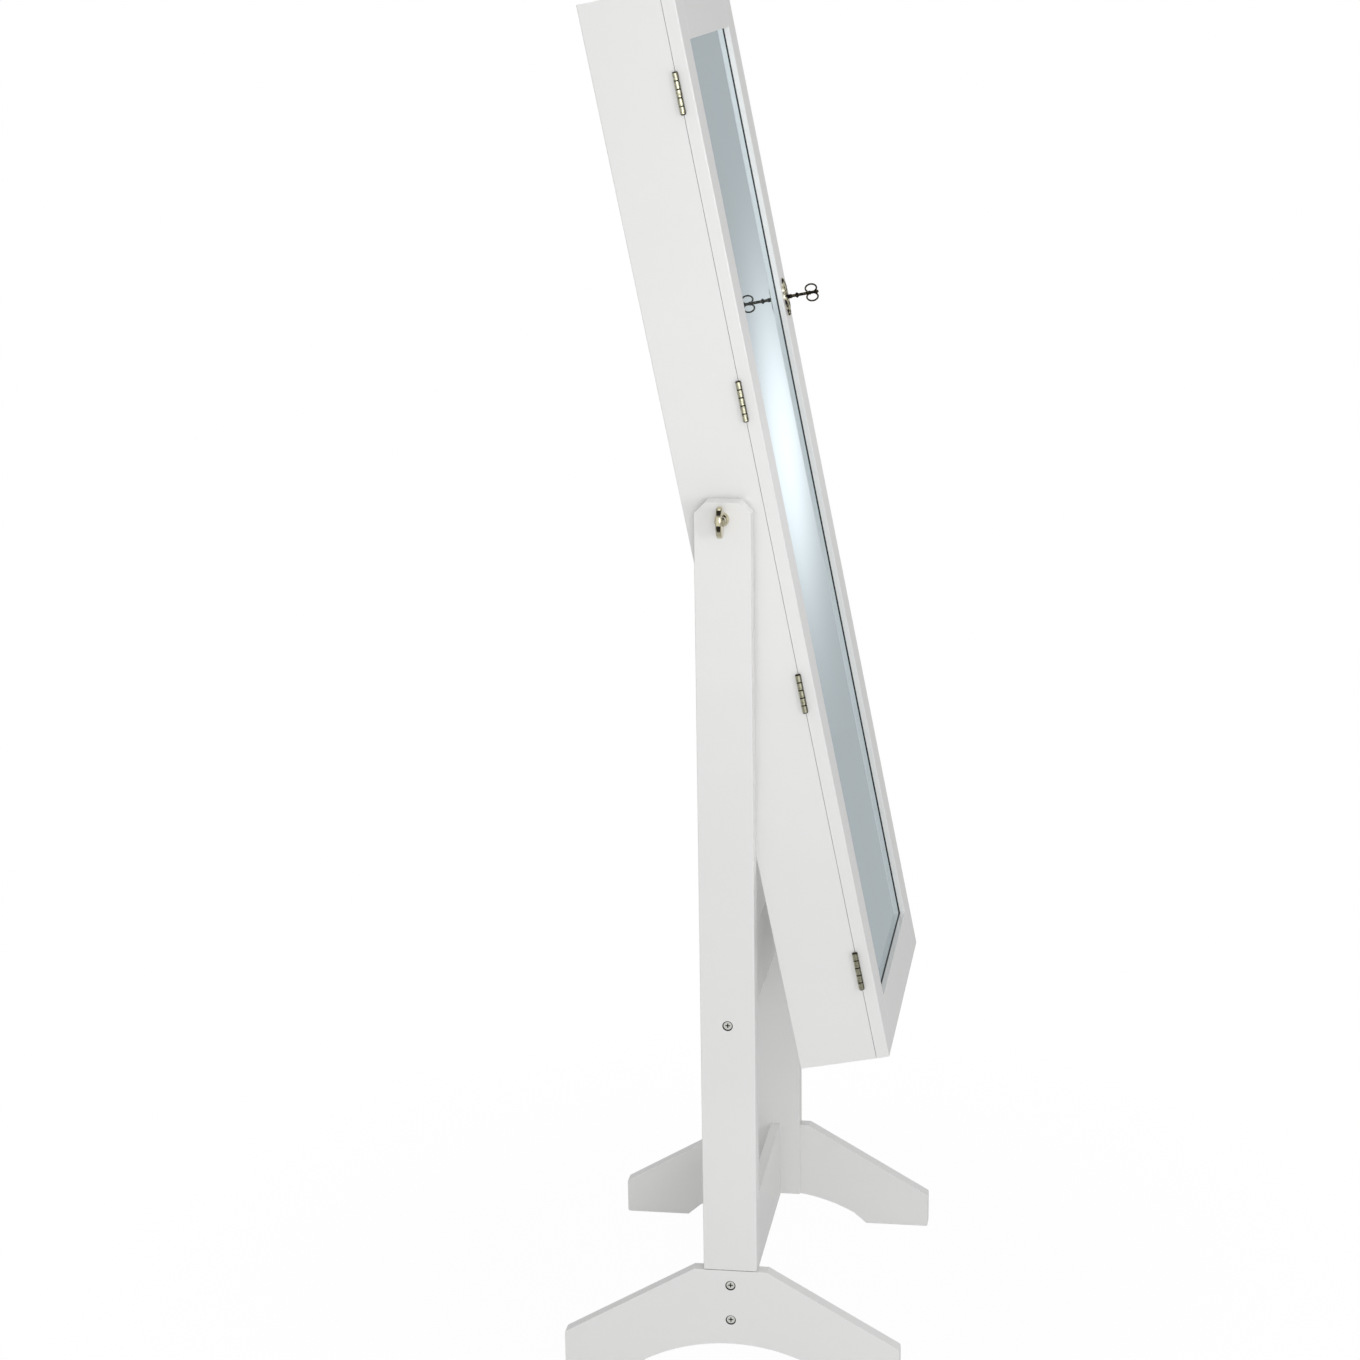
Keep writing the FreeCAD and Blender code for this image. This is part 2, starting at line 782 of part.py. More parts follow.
def make_lock_case():
    """Hollow lock on the door's back, open at its edge for the bolt."""
    low = lock_height - lock_case_height / 2
    high = lock_height + lock_case_height / 2
    wall = lock_case_wall
    shell = panel(lock_left, lock_right, lock_back, door_back, low, high)
    hollow = panel(lock_left + wall, lock_right - wall, lock_back + wall, door_back - wall,
                   low + wall, high - wall)
    bolt_low, bolt_high = bolt_heights(bolt_play)
    mouth = panel(lock_right - wall, lock_right, bolt_back - bolt_play,
                  bolt_front + bolt_play, bolt_low, bolt_high)
    return fuse([shell.cut(hollow)]).cut(mouth).cut(keyhole(door_back - wall, door_back))


def make_bolt():
    """Sliding bolt with a long slot that the key's shaft passes through."""
    low, high = bolt_heights(0)
    left = lock_left + lock_case_wall + bolt_play
    bolt = panel(left, lock_right, bolt_back, bolt_front, low, high)
    half = key_shaft_radius + bolt_play
    slot = panel(key_x - half - bolt_throw, key_x + half, bolt_back, bolt_front,
                 lock_height - half, lock_height + half)
    return bolt.cut(slot)


def make_key():
    """Open-work key: two oval loops on a turned shaft, with a bit at the tip."""
    tip = lock_back + lock_case_wall + bolt_play
    bow_start = door_front + escutcheon_thickness + key_reach
    axis = Vec(key_x, -tip, lock_height)
    reach = bow_start - tip
    shaft = cylinder(key_shaft_radius, reach + key_bow_length * 0.9, axis, FORWARD)
    plate_face = door_front + escutcheon_thickness - tip
    collar = revolve([(0, 0), (key_shaft_radius * 2.0, 0),
                      (key_shaft_radius * 1.4, key_collar_length * 0.2),
                      (key_shaft_radius * 1.45, key_collar_length * 0.8),
                      (key_shaft_radius, key_collar_length), (0, key_collar_length)],
                     axis + FORWARD * (plate_face + knob_face_gap), FORWARD)
    knots = [key_knot(axis + FORWARD * (plate_face + key_knot_reach), key_knot_length, 1.85),
             key_knot(axis + FORWARD * (reach + key_bow_length * 0.35),
                      key_bow_knot_length, 1.45)]
    tail = Part.makeSphere(key_shaft_radius * 1.15,
                           axis + FORWARD * (reach + key_bow_length * 0.92))
    loops = [bow_loop(bow_start, sign) for sign in (-1, 1)]
    bit = panel(key_x - key_bit_thickness / 2, key_x + key_bit_thickness / 2,
                tip, tip + key_bit_depth, lock_height - key_bit_length, lock_height)
    ward = panel(key_x - key_bit_thickness / 2, key_x + key_bit_thickness / 2,
                 tip + key_bit_depth * 0.4, tip + key_bit_depth * 0.65,
                 lock_height - key_bit_length, lock_height - key_bit_length * 0.7)
    return fuse([shaft, collar, tail, bit.cut(ward)] + knots + loops)


def key_knot(middle, length, swell):
    """Turned swelling of the key's shaft, about its middle."""
    waist = key_shaft_radius * 0.95
    return revolve([(0, 0), (waist, 0), (key_shaft_radius * swell, length * 0.4),
                    (key_shaft_radius * swell, length * 0.6), (waist, length), (0, length)],
                   middle - FORWARD * (length / 2), FORWARD)


def bow_loop(bow_start, sign):
    """One oval loop of the key's bow, above or below the shaft."""
    half_long = key_bow_length / 2 - key_wire
    half_tall = (key_bow_height / 2 - key_wire - key_loop_offset) / 2
    middle = Vec(key_x, -(bow_start + key_bow_length / 2),
                 lock_height + sign * (key_loop_offset + half_tall))
    oval = Part.Ellipse(middle + FORWARD * half_long, middle + UP * half_tall, middle)
    path = Part.Wire(oval.toShape())
    ring = Part.Wire(Part.makeCircle(key_wire, middle + FORWARD * half_long, UP))
    return path.makePipeShell([ring], True, True)


def escutcheon_outline():
    """Closed curve: an oval whose edge swells into evenly spaced lobes."""
    steps = escutcheon_lobes * 6
    points = []
    for i in range(steps):
        turn = 2 * math.pi * i / steps
        swell = 1 - escutcheon_lobe_depth * (1 + math.cos(escutcheon_lobes * turn)) / 2
        points.append(Vec(key_x + escutcheon_width / 2 * swell * math.cos(turn), -door_front,
                          lock_height + escutcheon_height / 2 * swell * math.sin(turn)))
    curve = Part.BSplineCurve()
    curve.interpolate(Points=points, PeriodicFlag=True)
    return Part.Wire(curve.toShape())


def make_escutcheon():
    """Lobed key plate with a keyhole and two nail holes."""
    plate = Part.Face(escutcheon_outline()).extrude(FORWARD * escutcheon_thickness)
    plate = plate.cut(keyhole(door_front, door_front + escutcheon_thickness))
    for point in nail_points():
        plate = plate.cut(cylinder(nail_radius, escutcheon_thickness, point, FORWARD))
    return plate


def make_nails():
    """Two round-head nails that hold the key plate."""
    nails = []
    for point in nail_points():
        shaft = cylinder(nail_radius, nail_length + escutcheon_thickness,
                         point - FORWARD * nail_length, FORWARD)
        dome = revolve([(0, 0), (nail_head_radius, 0),
                        (nail_head_radius * 0.8, nail_head_height * 0.55),
                        (nail_head_radius * 0.4, nail_head_height * 0.9),
                        (0, nail_head_height)],
                       point + FORWARD * escutcheon_thickness, FORWARD)
        nails.append(fuse([shaft, dome]))
    return group(nails)


# ---- all pieces ---------------------------------------------------------

def stand_pieces():
    left_post = make_post()
    left_foot = make_foot()
    left_knob = make_knob()
    left_stud = make_stud()
    spacer = make_spacer()
    return {
        "left_post": left_post,
        "right_post": mirrored(left_post),
        "left_foot": left_foot,
        "right_foot": mirrored(left_foot),
        "upper_crossbar": make_crossbar(upper_crossbar_middle),
        "lower_crossbar": make_crossbar(lower_crossbar_middle),
        "stand_screws": make_screws(),
        "left_spacer": spacer,
        "right_spacer": mirrored(spacer),
        "left_knob": left_knob,
        "right_knob": mirrored(left_knob),
        "left_knob_stud": left_stud,
        "right_knob_stud": mirrored(left_stud)}


def case_pieces():
    insert = make_insert()
    pieces = {
        "case_left_side": make_hinge_side(),
        "case_right_side": make_lock_side(),
        "case_top": make_end_board(cabinet_height - board),
        "case_bottom": make_end_board(0),
        "back_panel": make_back(),
        "back_lining": make_lining(),
        "lower_shelf": make_shelf(lower_shelf_height),
        "upper_shelf": make_shelf(upper_shelf_height),
        "ring_ledge": make_ring_ledge(),
        "ring_rolls": make_ring_rolls(),
        "bracelet_rod": make_bracelet_rod(),
        "bracelet_rod_cups": make_rod_cups(),
        "necklace_rail": make_necklace_rail(),
        "necklace_hooks": make_hooks(),
        "pivot_inserts": group([insert, mirrored(insert)]),
        "strike_plate": make_strike(),
        "hinge_leaves_case": make_case_leaves(),
        "hinge_pins": make_hinge_pins()}
    for index in range(earring_rail_count):
        pieces["earring_rail_%d" % (index + 1)] = make_earring_rail(index)
    return pieces


def door_pieces():
    return {
        "door_left_stile": make_hinge_stile(),
        "door_right_stile": make_lock_stile(),
        "door_top_rail": make_rail(cabinet_height - rail_width),
        "door_bottom_rail": make_rail(0),
        "mirror_glass": make_glass(),
        "mirror_backing": make_backing(),
        "hinge_leaves_door": make_door_leaves(),
        "lock_case": make_lock_case(),
        "lock_bolt": make_bolt(),
        "key": make_key(),
        "escutcheon": make_escutcheon(),
        "escutcheon_nails": make_nails()}


def write_parts():
    os.makedirs("parts", exist_ok=True)
    pieces = dict(stand_pieces())
    for name, shape in list(case_pieces().items()) + list(door_pieces().items()):
        pieces[name] = leaned(shape)
    for name, shape in pieces.items():
        shape.exportStep(os.path.join("parts", name + ".step"))
        if not shape.isValid() or shape.Volume <= 0:
            print("check", name, shape.isValid(), round(shape.Volume, 1))


write_parts()
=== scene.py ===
import json
import math

import bmesh
import bpy
import numpy as np
from mathutils import Matrix, Vector


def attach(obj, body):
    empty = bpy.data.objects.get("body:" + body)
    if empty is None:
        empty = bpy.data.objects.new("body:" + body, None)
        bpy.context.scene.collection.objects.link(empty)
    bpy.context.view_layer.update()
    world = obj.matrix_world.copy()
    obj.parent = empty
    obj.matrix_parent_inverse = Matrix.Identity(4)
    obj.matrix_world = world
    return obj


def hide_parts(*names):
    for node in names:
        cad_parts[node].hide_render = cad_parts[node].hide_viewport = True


# The looks of a leaning jewelry cabinet with a mirror door.
# Metres, in the frame of the solids: +Z up, the mirror faces -Y.

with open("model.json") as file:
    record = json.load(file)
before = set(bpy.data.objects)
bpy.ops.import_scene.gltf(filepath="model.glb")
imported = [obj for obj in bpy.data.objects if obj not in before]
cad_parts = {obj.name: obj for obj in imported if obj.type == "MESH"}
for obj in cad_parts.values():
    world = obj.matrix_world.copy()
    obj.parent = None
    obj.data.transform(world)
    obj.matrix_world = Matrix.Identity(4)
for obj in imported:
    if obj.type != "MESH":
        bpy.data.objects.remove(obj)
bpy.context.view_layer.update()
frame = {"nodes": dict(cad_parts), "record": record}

MM = 0.001

# ---- the cabinet's own frame, as in the part's source ------------------------

lean_back = math.radians(11.1)
pivot_up = 647.0
pivot_in = 46.0
pivot_height = 1021.0

half_width = 185.0
board = 15.0
inner_half = half_width - board
cabinet_height = 1200.0
case_depth = 88.1
door_back = 88.6
door_front = 103.0
stile_width = 46.0
rail_width = 57.0
mirror_front = 96.0
opening_half = half_width - stile_width

key_x = 162.0
lock_height = 826.0
escutcheon_height = 46.0
escutcheon_width = 24.0
escutcheon_thickness = 1.4
escutcheon_lobes = 6
escutcheon_lobe_depth = 0.09
nail_rise = 19.8
nail_head_radius = 2.2

post_outer = 214.0
post_width = 62.0
foot_crown = 133.5
shoulder_gap = 0.8
screw_heights = [70.4, 114.4, 437.5]
screw_head_radius = 4.8
screw_sink = 1.2
screw_recess = 2.8

hinge_middles = [108.0, 436.0, 764.0, 1092.0]
hinge_length = 44.0
hinge_knuckles = 5
joint_shade_and_tarnish = 0.9          # each side of a joint between knuckles, darkened by tarnish and painted shade
flank_shade_from = 1.5          # past this, the door's side of a barrel is darkened as painted shade
flank_fade = 0.8             # over this much further
flank_shine = 0.35           # share of the shine that is left there
spot_shine = 0.55            # and in a spot of tarnish
case_leaf_front = 88.25
door_leaf_back = 88.45

ring_ledge_height = 470.0
ring_tray_height = 150.0
ring_roll_count = 7
ring_board_front = 8.0
ring_roll_depth = 22.0


def in_cabinet(points):
    """Points (across, depth from the back, height) in mm, leaned back with the cabinet."""
    across, depth, height = np.moveaxis(np.asarray(points, float), -1, 0)
    ahead = depth - pivot_in
    above = height - pivot_up
    y = above * math.sin(lean_back) - ahead * math.cos(lean_back)
    z = pivot_height + above * math.cos(lean_back) + ahead * math.sin(lean_back)
    return np.stack([across, y, z], axis=-1) * MM


# ---- surfaces ----------------------------------------------------------------

def make_piece(name, points, faces, smooth=True):
    """Mesh object out of an array of points and a list of faces."""
    mesh = bpy.data.meshes.new(name)
    mesh.from_pydata(np.asarray(points).reshape(-1, 3).tolist(), [], faces)
    mesh.validate()
    mesh.polygons.foreach_set("use_smooth", np.full(len(mesh.polygons), smooth))
    mesh.update()
    piece = bpy.data.objects.new(name, mesh)
    bpy.context.scene.collection.objects.link(piece)
    return piece


def grid_faces(rows, columns, wrap_rows=False, wrap_columns=False):
    """Quads of a grid of points, row by row; a wrapped side joins its last line to its first."""
    i = np.arange(rows if wrap_rows else rows - 1)[:, None]
    j = np.arange(columns if wrap_columns else columns - 1)[None, :]
    i2 = (i + 1) % rows
    j2 = (j + 1) % columns
    quads = [i * columns + j, i * columns + j2, i2 * columns + j2, i2 * columns + j]
    return np.stack(np.broadcast_arrays(*quads), axis=-1).reshape(-1, 4).tolist()


def joined(parts):
    """Several (points, faces) as one list of points and one of faces."""
    points = []
    faces = []
    count = 0
    for part_points, part_faces in parts:
        flat = np.asarray(part_points).reshape(-1, 3)
        points.append(flat)
        faces += [[index + count for index in face] for face in part_faces]
        count += len(flat)
    return np.concatenate(points), faces


def finished(piece, body, finish):
    """Give a new piece its finish, its body and the slot that it belongs to."""
    piece.data.materials.append(finishes[finish])
    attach(piece, body)
    return piece


# ---- materials ---------------------------------------------------------------

def linear(code):
    """sRGB hex as linear RGBA."""
    values = [int(code[i:i + 2], 16) / 255 for i in (1, 3, 5)]
    return [v / 12.92 if v <= 0.04045 else ((v + 0.055) / 1.055) ** 2.4 for v in values] + [1.0]


def node(tree, kind, inputs, output=0):
    """Add a node and give back one of its outputs, or the node itself if output is None.

    An input, by name or number, takes a value or another node's output. What
    isn't an input is one of the node's own fields.
    """
    made = tree.nodes.new(kind)
    for key, value in inputs.items():
        if isinstance(value, bpy.types.NodeSocket):
            tree.links.new(value, made.inputs[key])
        elif isinstance(key, int) or key in made.inputs:
            made.inputs[key].default_value = value
        else:
            setattr(made, key, value)
    return made if output is None else made.outputs[output]


def cleared(owner):
    """Node tree of a new material or world, emptied."""
    owner.use_nodes = True
    owner.node_tree.nodes.clear()
    return owner.node_tree


def blank(name, settings):
    """New material with a Principled shader set by name, and its object coordinates."""
    material = bpy.data.materials.new(name)
    tree = cleared(material)
    shader = node(tree, "ShaderNodeBsdfPrincipled", settings, None)
    node(tree, "ShaderNodeOutputMaterial", {"Surface": shader.outputs[0]}, None)
    place = node(tree, "ShaderNodeTexCoord", {}, "Object")
    return material, tree, shader, place


def pattern(tree, place, size_mm, detail=3.0, rates=(1.0, 1.0, 1.0)):
    """Noise laid over the object, its features size_mm wide; a rate under 1 draws them out."""
    scale = [rate / (size_mm * MM) for rate in rates]
    laid = node(tree, "ShaderNodeMapping", {"Vector": place, "Scale": scale})
    return node(tree, "ShaderNodeTexNoise", {
        "Vector": laid, "Scale": 1.0, "Detail": detail, "Roughness": 0.55}, "Fac")


noise_middle = (0.3, 0.7)    # most of a noise lies in this range


def coloured(tree, shader, factor, first, second, middle=noise_middle):
    """Base colour that runs between two sRGB colours as the factor crosses its middle range."""
    part = node(tree, "ShaderNodeMapRange", {
        "Value": factor, "From Min": middle[0], "From Max": middle[1]})
    colour = node(tree, "ShaderNodeMix", {
        "data_type": "RGBA", 0: part, 6: linear(first), 7: linear(second)}, 2)
    tree.links.new(colour, shader.inputs["Base Color"])


def roughened(tree, shader, factor, first, second, middle=noise_middle):
    """Roughness that runs between two values as the factor crosses its middle range."""
    rough = node(tree, "ShaderNodeMapRange", {
        "Value": factor, "From Min": middle[0], "From Max": middle[1],
        "To Min": first, "To Max": second})
    tree.links.new(rough, shader.inputs["Roughness"])


def bumped(tree, shader, height, depth_mm, strength):
    """Bump whose full height is depth_mm."""
    bump = node(tree, "ShaderNodeBump", {
        "Height": height, "Strength": strength, "Distance": depth_mm * MM})
    tree.links.new(bump, shader.inputs["Normal"])


# Fibres, brushed lines and tool marks are finer on the real thing. They are drawn
# 0.5 to 1.5 mm wide, as coarse as they need to be to show.

def white_lacquer():
    """Satin white lacquer sprayed on fibreboard and levelled: even, with a faint haze."""
    material, tree, shader, place = blank("white_lacquer", {
        "IOR": 1.5, "Coat Weight": 0.5, "Coat Roughness": 0.06})
    coloured(tree, shader, pattern(tree, place, size_mm=240, detail=1.0), "#EDEDEC", "#EFEFEE")
    roughened(tree, shader, pattern(tree, place, size_mm=35), 0.3, 0.37)
    return material


def faced_hardboard():
    """White-faced hardboard, rolled smooth, with the fibres just showing through."""
    material, tree, shader, place = blank("faced_hardboard", {"IOR": 1.48})
    fibre = pattern(tree, place, size_mm=1.4, detail=4.0, rates=(1.0, 1.0, 0.35))
    coloured(tree, shader, fibre, "#E2E2E0", "#E9E9E7")
    roughened(tree, shader, fibre, 0.42, 0.55)
    bumped(tree, shader, fibre, depth_mm=0.05, strength=0.5)
    return material


def silvered_glass():
    """Float glass silvered on its back: a cool, slightly green mirror under a haze of dust."""
    material, tree, shader, place = blank("silvered_glass", {
        "Metallic": 0.88, "Specular Tint": linear("#F4FBFF")})
    wipe = pattern(tree, place, size_mm=60, rates=(1.0, 1.0, 0.25))
    coloured(tree, shader, wipe, "#CBD6D9", "#CDD8DB")
    roughened(tree, shader, wipe, 0.012, 0.03)
    return material


def black_hardboard():
    """Black-faced hardboard behind the glass, matt, with a pressed mesh grain."""
    material, tree, shader, place = blank("black_hardboard", {"IOR": 1.48})
    grain = pattern(tree, place, size_mm=1.8, detail=4.0)
    coloured(tree, shader, grain, "#1B1B1D", "#27272A")
    roughened(tree, shader, grain, 0.55, 0.75)
    bumped(tree, shader, grain, depth_mm=0.08, strength=0.6)
    return material


def flocked_velvet():
    """Black velvet made by flocking: short upright fibres, soft sheen, brushed patches."""
    material, tree, shader, place = blank("flocked_velvet", {
        "Roughness": 0.95, "Specular IOR Level": 0.2,
        "Sheen Weight": 0.7, "Sheen Roughness": 0.35, "Sheen Tint": linear("#B9B9C4")})
    coloured(tree, shader, pattern(tree, place, size_mm=28), "#121215", "#1D1D21")
    bumped(tree, shader, pattern(tree, place, size_mm=0.5, detail=2.0), depth_mm=0.25, strength=0.6)
    return material


def hinge_brass():
    """Stamped hinge brass, pale where hands rub it.

    Tarnish and painted shade darken the joints between the knuckles, found
    from the height along the cabinet; painted shade darkens the flank next
    to the door, found from the depth.
    """
    material, tree, shader, place = blank("hinge_brass", {"Metallic": 1.0})
    up = (0, math.sin(lean_back), math.cos(lean_back))
    forward = (0, -up[2], up[1])
    # Joints between knuckles, darkened by tarnish and by painted shade of their gaps:
    lowest = (pivot_height * up[2] - pivot_up + hinge_middles[0]) * MM
    height = node(tree, "ShaderNodeVectorMath", {
        "operation": "DOT_PRODUCT", 0: place, 1: up}, "Value")
    above = node(tree, "ShaderNodeMath", {"operation": "SUBTRACT", 0: height, 1: lowest})
    pitch = (hinge_middles[1] - hinge_middles[0]) * MM
    local = node(tree, "ShaderNodeMath", {
        "operation": "WRAP", 0: above, 1: pitch / 2, 2: -pitch / 2})
    knuckle = hinge_length / hinge_knuckles * MM
    shifted = node(tree, "ShaderNodeMath", {"operation": "ADD", 0: local, 1: knuckle / 2})
    joint = node(tree, "ShaderNodeMath", {"operation": "PINGPONG", 0: shifted, 1: knuckle / 2})
    joint_unshaded_untarnished = node(tree, "ShaderNodeMapRange", {
        "Value": joint, "From Min": joint_shade_and_tarnish * MM / 2, "From Max": joint_shade_and_tarnish * MM})
    # Painted shade on the door's flank of each barrel, found from the depth:
    depth = node(tree, "ShaderNodeVectorMath", {
        "operation": "DOT_PRODUCT", 0: place, 1: forward}, "Value")
    flank = pivot_height * up[1] - pivot_in + (case_depth + door_back) / 2 + flank_shade_from
    flank_unshaded = node(tree, "ShaderNodeMapRange", {
        "Value": depth, "From Min": flank * MM, "From Max": (flank + flank_fade) * MM,
        "To Min": 1.0, "To Max": flank_shine})
    spot_clean = node(tree, "ShaderNodeMapRange", {
        "Value": pattern(tree, place, size_mm=2.4, detail=4.0), "From Min": 0.35, "From Max": 0.5,
        "To Min": spot_shine})
    untarnished_and_unshaded = joint_unshaded_untarnished
    for share in (flank_unshaded, spot_clean):
        untarnished_and_unshaded = node(tree, "ShaderNodeMath", {"operation": "MULTIPLY", 0: untarnished_and_unshaded, 1: share})
    # Dark where tarnished, and as painted shade in the knuckle joints and on the door's flank.
    coloured(tree, shader, untarnished_and_unshaded, "#241F12", "#C4C2AA", middle=(0.0, 1.0))
    roughened(tree, shader, untarnished_and_unshaded, 0.55, 0.34, middle=(0.0, 1.0))
    bumped(tree, shader, pattern(tree, place, size_mm=0.6, detail=2.0), depth_mm=0.02, strength=0.4)
    return material


def plate_brass():
    """Cast key plate in antique brass: black wax left in the hollows, the rest rubbed bright."""
    material, tree, shader, place = blank("plate_brass", {"Specular IOR Level": 0.2})
    bare = node(tree, "ShaderNodeMapRange", {
        "Value": pattern(tree, place, size_mm=6.0, detail=2.0), "From Min": 0.46, "From Max": 0.54})
    tree.links.new(bare, shader.inputs["Metallic"])
    coloured(tree, shader, bare, "#16120B", "#EFE9CE", middle=(0.0, 1.0))
    roughened(tree, shader, bare, 0.9, 0.3, middle=(0.0, 1.0))
    bumped(tree, shader, pattern(tree, place, size_mm=0.6, detail=2.0), depth_mm=0.02, strength=0.4)
    return material


def hook_brass():
    """Drawn brass wire for the necklace hooks: bright where it is rubbed, duller elsewhere."""
    material, tree, shader, place = blank("hook_brass", {"Metallic": 1.0})
    patina = pattern(tree, place, size_mm=5.0, detail=4.0)
    coloured(tree, shader, patina, "#A88C4C", "#D9BE7A", middle=(0.35, 0.62))
    roughened(tree, shader, patina, 0.26, 0.16)
    bumped(tree, shader, pattern(tree, place, size_mm=0.6, detail=2.0), depth_mm=0.02, strength=0.4)
    return material


def polished_nickel():
    """Knob cast in zinc and plated with warm nickel, polished."""
    material, tree, shader, place = blank("polished_nickel", {"Metallic": 1.0})
    haze = pattern(tree, place, size_mm=6)
    coloured(tree, shader, haze, "#C9C1A0", "#D8D3BD")
    roughened(tree, shader, haze, 0.07, 0.14)
    return material


def zinc_screw():
    """Zinc-plated steel screw, dull, with turning marks too fine to see one by one."""
    material, tree, shader, place = blank("zinc_screw", {"Metallic": 0.3})
    mottle = pattern(tree, place, size_mm=1.6)
    coloured(tree, shader, mottle, "#D6D6D1", "#EBEBE6")
    roughened(tree, shader, mottle, 0.42, 0.55)
    bumped(tree, shader, mottle, depth_mm=0.03, strength=0.5)
    return material


def turned_nylon():
    """White nylon, turned from bar: waxy, with fine tool marks round its edge."""
    material, tree, shader, place = blank("turned_nylon", {
        "IOR": 1.53, "Subsurface Weight": 0.1, "Subsurface Radius": (MM, MM, MM)})
    marks = pattern(tree, place, size_mm=0.9, detail=2.0, rates=(3.0, 0.5, 0.5))
    coloured(tree, shader, marks, "#DCDBD6", "#E6E5E1")
    roughened(tree, shader, marks, 0.4, 0.5)
    return material


def plated_steel():
    """Pressed steel with thin yellow zinc: brushed along the door."""
    material, tree, shader, place = blank("plated_steel", {"Metallic": 1.0})
    brushed = pattern(tree, place, size_mm=0.8, rates=(1.0, 1.0, 0.08))
    coloured(tree, shader, brushed, "#9C9484", "#BDB6A4")
    roughened(tree, shader, brushed, 0.28, 0.42)
    return material


def dark_key_metal():
    """Cast zinc key with a near-black antique finish, rubbed brown on high spots."""
    material, tree, shader, place = blank("dark_key_metal", {"Metallic": 1.0})
    rubbed = pattern(tree, place, size_mm=1.5, detail=4.0)
    coloured(tree, shader, rubbed, "#151311", "#8A7B62", middle=(0.52, 0.7))
    roughened(tree, shader, rubbed, 0.22, 0.4)
    bumped(tree, shader, rubbed, depth_mm=0.04, strength=0.5)
    return material


def recess_painted_shade():
    """Painted shade: near-black board colour for the countersink walls and the joints under the
    posts, where shade falls.
    """
    material, tree, shader, place = blank("recess_painted_shade", {"IOR": 1.45, "Roughness": 0.9})
    fibre = pattern(tree, place, size_mm=0.7, detail=4.0)
    coloured(tree, shader, fibre, "#23211E", "#37332D")
    bumped(tree, shader, fibre, depth_mm=0.15, strength=0.7)
    return material


def cross_recess_shade():
    """Painted shade for the inside of a pressed cross recess: dark and rough."""
    material, tree, shader, place = blank("cross_recess_shade", {"Metallic": 0.6})
    grain = pattern(tree, place, size_mm=0.5)
    coloured(tree, shader, grain, "#191917", "#2D2C29")
    roughened(tree, shader, grain, 0.5, 0.7)
    return material


def painted_edge_shade():
    """Painted shade: black, semi-matt and mottled, for the shadow gap between frame and glass and
    its reflection.
    """
    material, tree, shader, place = blank("painted_edge_shade", {"IOR": 1.5})
    shade_mottle = pattern(tree, place, size_mm=3)
    coloured(tree, shader, shade_mottle, "#141617", "#232627")
    roughened(tree, shader, shade_mottle, 0.4, 0.6)
    return material


# The solids' slots, and three finishes that only new pieces have.
finishes = {
    "white_lacquer": white_lacquer(),
    "back_board": faced_hardboard(),
    "mirror_glass": silvered_glass(),
    "mirror_backing": black_hardboard(),
    "black_velvet": flocked_velvet(),
    "hinge_brass": hinge_brass(),
    "knob_metal": polished_nickel(),
    "screw_steel": zinc_screw(),
    "spacer_nylon": turned_nylon(),
    "lock_steel": plated_steel(),
    "key_metal": dark_key_metal(),
    "plate_brass": plate_brass(),
    "hook_brass": hook_brass(),
    "recess_painted_shade": recess_painted_shade(),
    "cross_recess_shade": cross_recess_shade(),
    "painted_edge_shade": painted_edge_shade()}


def dress_solids():
    """Give every solid the finish of its slot."""
    for entry in frame["record"]["subparts"]:
        solid = frame["nodes"][entry["node"]]
        if not solid.data.materials:
            solid.data.materials.append(None)
        for index in range(len(solid.data.materials)):
            solid.material_slots[index].material = finishes[entry["material_slot"]]


dress_solids()


# ---- detail pieces -------------------------------------------------------------

edge_line_height = 1.0
edge_line_thickness = 0.3


def mirror_edge_shade_line():
    """Painted shade: a thin black line where the frame meets the glass, for the shadow gap and its
    reflection.

    A small rectangle carried round the opening: its four corners are offset
    inwards from the opening and forwards from the glass.
    """
    low = rail_width
    high = cabinet_height - rail_width
    turns = [(-1, low, 1), (1, low, 1), (1, high, -1), (-1, high, -1)]
    section = [(0, 0), (0, 1), (1, 1), (1, 0)]
    rings = []
    for side, height, way in turns:
        ring = []
        for inward, forward in section:
            inset = inward * edge_line_thickness
            ring.append((side * (opening_half - inset),
                         mirror_front + forward * edge_line_height, height + way * inset))
        rings.append(ring)
    faces = grid_faces(len(turns), len(section), wrap_rows=True, wrap_columns=True)
    piece = make_piece("mirror_edge_shade_line", in_cabinet(rings), faces, smooth=False)
    return finished(piece, "door", "painted_edge_shade")


relief_rows = 22
relief_columns = 96
relief_height = 1.5
relief_lift = 0.02           # of its lowest parts above the plate's face
relief_inset = 0.5           # inside the plate's edge
keyhole_radius = 2.3
keyhole_half_height = 4.8
keyhole_fall = 2.3           # from the key down to the keyhole's middle
keyhole_margin = 1.1
nail_fade = 1.2

# Shares of the way from the keyhole's edge (0) to the plate's edge (1).
inner_rim = 0.1
outer_rim = 0.88
rim_width = 0.07
edge_fade = 0.06

# Shares of the relief's height.
inner_rim_height = 0.72
outer_rim_height = 0.8
petal_height = 0.9


